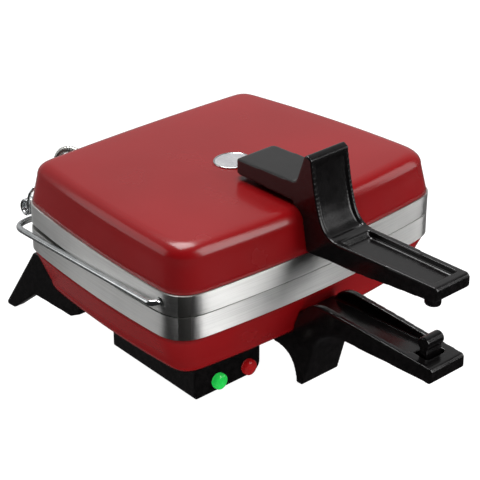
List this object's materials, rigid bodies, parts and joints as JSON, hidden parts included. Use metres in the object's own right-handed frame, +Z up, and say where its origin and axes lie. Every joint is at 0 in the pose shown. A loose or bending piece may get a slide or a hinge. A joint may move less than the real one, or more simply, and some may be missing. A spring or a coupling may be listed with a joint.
{
  "type": "electric ring cake maker",
  "caption": "Hinged electric ring-cake maker with enamelled shells, cast aluminium mould plates, moulded handles, rear feet and a wire hinge bail.",
  "frame": {"origin": "centre of the bounding box in plan, at the level of the surface that the feet stand on", "axes": "+Z up, +Y from the handles towards the hinge, +X to the right seen from the handles"},
  "size_m": [0.2766, 0.365, 0.1793],
  "materials": {
    "enamel": "glossy stove enamel",
    "cast_aluminium": "brushed outside, as cast inside",
    "phenolic": "moulded, semi-gloss",
    "chrome": "bright plated wire",
    "steel": "zinc-plated or plain sheet",
    "ceramic": "unglazed ceramic",
    "badge": "blank glossy plate",
    "green_lens": "translucent lens",
    "red_lens": "translucent lens",
    "sheath": "flexible metal sheath"
  },
  "bodies": {
    "base": {"base_shell": "enamel", "lower_cast_plate": "cast_aluminium", "lower_heating_element": "steel", "lower_element_clamp": "steel", "lower_reflector": "steel", "lower_terminal_block": "ceramic", "thermostat": "steel", "thermal_fuse": "ceramic", "lower_handle": "phenolic", "catch_pin": "steel", "rear_foot_left": "phenolic", "rear_foot_right": "phenolic", "base_hinge_bracket_left": "steel", "base_hinge_bracket_right": "steel", "control_box": "phenolic", "appliance_inlet": "phenolic", "green_lamp_lens": "green_lens", "red_lamp_lens": "red_lens", "green_lamp_holder": "ceramic", "red_lamp_holder": "ceramic", "lower_handle_screw_left": "steel", "lower_handle_screw_right": "steel", "rear_foot_screw_left": "steel", "rear_foot_screw_right": "steel", "control_box_screw_front": "steel", "control_box_screw_rear": "steel", "sheathed_lead": "sheath"},
    "lid": {"lid_shell": "enamel", "upper_cast_plate": "cast_aluminium", "upper_heating_element": "steel", "upper_element_clamp": "steel", "upper_reflector": "steel", "upper_terminal_block": "ceramic", "upper_handle": "phenolic", "upper_handle_screw_1": "steel", "upper_handle_screw_2": "steel", "lid_badge": "badge", "hinge_bail": "chrome", "lid_hinge_lug_left": "steel", "lid_hinge_lug_right": "steel", "hinge_spring_left": "chrome", "hinge_spring_right": "chrome"},
    "catch": {"catch_lever": "phenolic"}
  },
  "joints": [
    {"name": "lid_hinge", "type": "hinge", "parent": "base", "child": "lid", "pos_m": [0, 0.14303, 0.087], "axis": [-1, 0, 0], "range_deg": [0, 100], "deforming": ["sheathed_lead"]},
    {"name": "catch_hinge", "type": "hinge", "parent": "base", "child": "catch", "pos_m": [0, -0.16597, 0.0557], "axis": [-1, 0, 0], "range_deg": [0, 55]}
  ]
}
